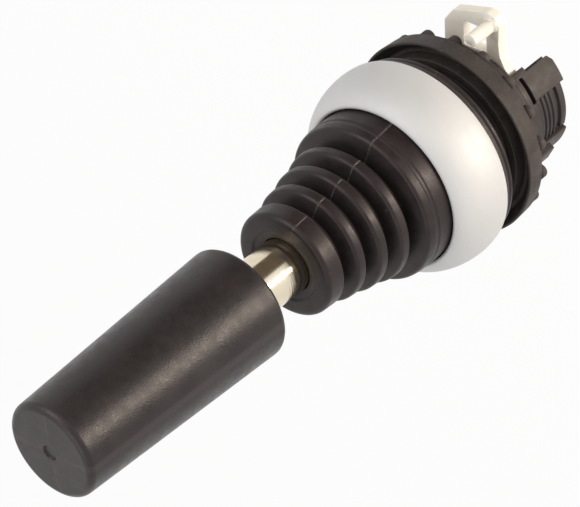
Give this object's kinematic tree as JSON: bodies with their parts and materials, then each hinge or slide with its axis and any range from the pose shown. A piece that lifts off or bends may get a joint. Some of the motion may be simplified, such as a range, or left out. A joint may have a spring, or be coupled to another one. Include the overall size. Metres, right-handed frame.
{
  "type": "joystick operator",
  "caption": "Panel-mounted industrial joystick with a tapered handle, rubber bellows boot, satin bezel ring, gimbal pivot, sprung plungers, ring nut and locking ring.",
  "frame": {"origin": "on the lever's axis, in the plane of the panel's front face, where the gasket's rear face seats", "axes": "+Z along the upright lever towards the handle, +X along the fixed gimbal pins, +Y along the lever's cross shaft"},
  "size_m": [0.03, 0.03, 0.0922],
  "materials": {
    "handle_black": "fine-grained matte moulded plastic",
    "insert_brass": "turned brass",
    "rod_steel": "bright drawn steel",
    "sleeve_plated": "warm nickel plate, turned and polished",
    "hub_steel": "machined steel",
    "pin_steel": "ground pin steel",
    "inner_black": "glass-filled plastic",
    "housing_black": "matte moulded plastic",
    "bezel_satin": "satin silver finish",
    "boot_rubber": "moulded rubber",
    "gate_zinc": "zinc-plated steel",
    "nut_black": "matte moulded plastic",
    "guide_black": "matte moulded plastic",
    "latch_natural": "natural white moulded plastic",
    "plunger_natural": "natural moulded plastic",
    "spring_steel": "drawn spring wire"
  },
  "bodies": {
    "housing": {"housing": "housing_black", "panel_gasket": "boot_rubber", "bezel": "bezel_satin", "gate_plate": "gate_zinc", "boot": "boot_rubber", "gimbal_pins": "pin_steel", "plunger_guide": "guide_black", "spring_east": "spring_steel", "spring_west": "spring_steel", "spring_north": "spring_steel", "spring_south": "spring_steel"},
    "nut": {"ring_nut": "nut_black"},
    "lock": {"locking_ring": "latch_natural"},
    "gimbal": {"gimbal_ring": "hub_steel"},
    "lever": {"lever_rod": "rod_steel", "lever_sleeve": "sleeve_plated", "grip": "handle_black", "grip_insert": "insert_brass", "pivot_hub": "hub_steel", "cross_shaft": "pin_steel", "actuator_plate": "inner_black", "plate_screw": "pin_steel"},
    "plunger_east": {"plunger_east": "plunger_natural"},
    "plunger_west": {"plunger_west": "plunger_natural"},
    "plunger_north": {"plunger_north": "plunger_natural"},
    "plunger_south": {"plunger_south": "plunger_natural"}
  },
  "joints": [
    {"name": "tilt_x", "type": "hinge", "parent": "housing", "child": "gimbal", "pos_m": [0, 0, 0.0032], "axis": [1, 0, 0], "range_deg": [-14, 14], "stiffness_Nm_per_rad": 0.6, "deforming": ["boot"]},
    {"name": "tilt_y", "type": "hinge", "parent": "gimbal", "child": "lever", "pos_m": [0, 0, 0.0032], "axis": [0, 1, 0], "range_deg": [-14, 14], "stiffness_Nm_per_rad": 0.6, "deforming": ["boot"]},
    {"name": "plunger_east_slide", "type": "slide", "parent": "housing", "child": "plunger_east", "axis": [0, 0, 1], "range_m": [-0.0013, 0.0013], "deforming": ["spring_east"]},
    {"name": "plunger_west_slide", "type": "slide", "parent": "housing", "child": "plunger_west", "axis": [0, 0, 1], "range_m": [-0.0013, 0.0013], "deforming": ["spring_west"]},
    {"name": "plunger_north_slide", "type": "slide", "parent": "housing", "child": "plunger_north", "axis": [0, 0, 1], "range_m": [-0.0013, 0.0013], "deforming": ["spring_north"]},
    {"name": "plunger_south_slide", "type": "slide", "parent": "housing", "child": "plunger_south", "axis": [0, 0, 1], "range_m": [-0.0013, 0.0013], "deforming": ["spring_south"]},
    {"name": "nut_turn", "type": "hinge", "parent": "housing", "child": "nut", "pos_m": [0, 0, -0.005], "axis": [0, 0, 1], "continuous": true},
    {"name": "lock_turn", "type": "hinge", "parent": "housing", "child": "lock", "pos_m": [0, 0, -0.0118], "axis": [0, 0, 1], "range_deg": [0, 30]}
  ],
  "couplings": [
    {"joint": "plunger_east_slide", "follows": "tilt_y", "m_per_rad": -0.005},
    {"joint": "plunger_west_slide", "follows": "tilt_y", "m_per_rad": 0.005},
    {"joint": "plunger_north_slide", "follows": "tilt_x", "m_per_rad": 0.005},
    {"joint": "plunger_south_slide", "follows": "tilt_x", "m_per_rad": -0.005}
  ]
}
